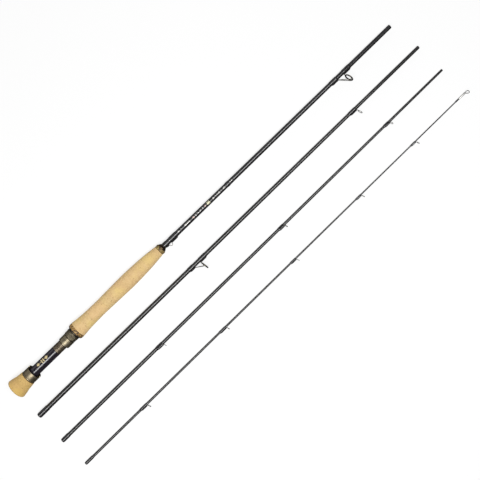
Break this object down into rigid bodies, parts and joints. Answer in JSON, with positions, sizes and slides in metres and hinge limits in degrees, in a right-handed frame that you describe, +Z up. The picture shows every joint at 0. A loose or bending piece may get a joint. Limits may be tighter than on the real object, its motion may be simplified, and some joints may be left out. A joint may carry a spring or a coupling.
{
  "type": "fly fishing rod",
  "caption": "Four-piece fly rod taken apart, sections side by side, with cork grip, fighting butt, reel seat and screw-down sliding hood, ring and wire guides.",
  "frame": {"origin": "middle of the row's footprint, on the surface the sections lie on", "axes": "+Y along the sections from butt ends to tip ends, +X across the row from the butt section to the tip section, +Z up"},
  "size_m": [0.1588, 0.7286, 0.0284],
  "materials": {
    "cork": "matt, fine-pored, sanded",
    "burl_cork": "dark speckled cork, satin",
    "bronze_anodised": "satin bronze anodised",
    "seat_barrel": "near-black gloss lacquer with a violet cast",
    "graphite": "charcoal gloss over wound carbon",
    "wrap": "thread under clear epoxy, black gloss",
    "guide_wire": "polished steel wire",
    "ceramic": "dark polished ceramic ring",
    "foam": "hidden filler arbor"
  },
  "bodies": {
    "butt_section": {"blank_1": "graphite", "fighting_butt": "cork", "fixed_hood": "bronze_anodised", "seat_barrel": "seat_barrel", "threaded_sleeve": "bronze_anodised", "seat_arbor_butt": "foam", "seat_arbor_tip": "foam", "grip_ring_butt": "burl_cork", "cork_grip": "cork", "grip_ring_tip": "burl_cork", "winding_check": "bronze_anodised", "hook_keeper": "guide_wire", "keeper_butt_wrap": "wrap", "keeper_tip_wrap": "wrap", "trim_wrap": "wrap", "guide_1_frame": "guide_wire", "guide_1_insert": "ceramic", "guide_1_butt_wrap": "wrap", "guide_1_tip_wrap": "wrap"},
    "sliding_hood": {"sliding_hood": "bronze_anodised"},
    "lock_nut": {"lock_nut": "bronze_anodised"},
    "section_2": {"blank_2": "graphite", "ferrule_wrap_2": "wrap", "guide_2_frame": "guide_wire", "guide_2_insert": "ceramic", "guide_2_butt_wrap": "wrap", "guide_2_tip_wrap": "wrap", "loop_guide_2a": "guide_wire", "loop_guide_2a_wrap": "wrap"},
    "section_3": {"blank_3": "graphite", "ferrule_wrap_3": "wrap", "loop_guide_3a": "guide_wire", "loop_guide_3a_wrap": "wrap", "loop_guide_3b": "guide_wire", "loop_guide_3b_wrap": "wrap", "loop_guide_3c": "guide_wire", "loop_guide_3c_wrap": "wrap"},
    "section_4": {"blank_4": "graphite", "ferrule_wrap_4": "wrap", "tip_top": "guide_wire", "tip_top_wrap": "wrap", "loop_guide_4a": "guide_wire", "loop_guide_4a_wrap": "wrap", "loop_guide_4b": "guide_wire", "loop_guide_4b_wrap": "wrap", "loop_guide_4c": "guide_wire", "loop_guide_4c_wrap": "wrap", "loop_guide_4d": "guide_wire", "loop_guide_4d_wrap": "wrap", "loop_guide_4e": "guide_wire", "loop_guide_4e_wrap": "wrap"}
  },
  "joints": [
    {"name": "hood_slide", "type": "slide", "parent": "butt_section", "child": "sliding_hood", "axis": [0, -0.9999, 0.0126], "range_m": [0, 0.018]},
    {"name": "lock_nut_turn", "type": "hinge", "parent": "sliding_hood", "child": "lock_nut", "pos_m": [-0.06517, -0.25167, 0.01292], "axis": [0, -0.9999, 0.0126], "range_deg": [0, 4320]},
    {"name": "section_2_slide", "type": "slide", "parent": "butt_section", "child": "section_2", "axis": [0, 1, 0], "range_m": [0, 0.665]},
    {"name": "section_3_slide", "type": "slide", "parent": "section_2", "child": "section_3", "axis": [0, 1, 0], "range_m": [0, 0.677]},
    {"name": "section_4_slide", "type": "slide", "parent": "section_3", "child": "section_4", "axis": [0, 1, 0], "range_m": [0, 0.678]}
  ],
  "couplings": [
    {"joint": "lock_nut_turn", "follows": "hood_slide", "rad_per_m": 4188.8}
  ]
}
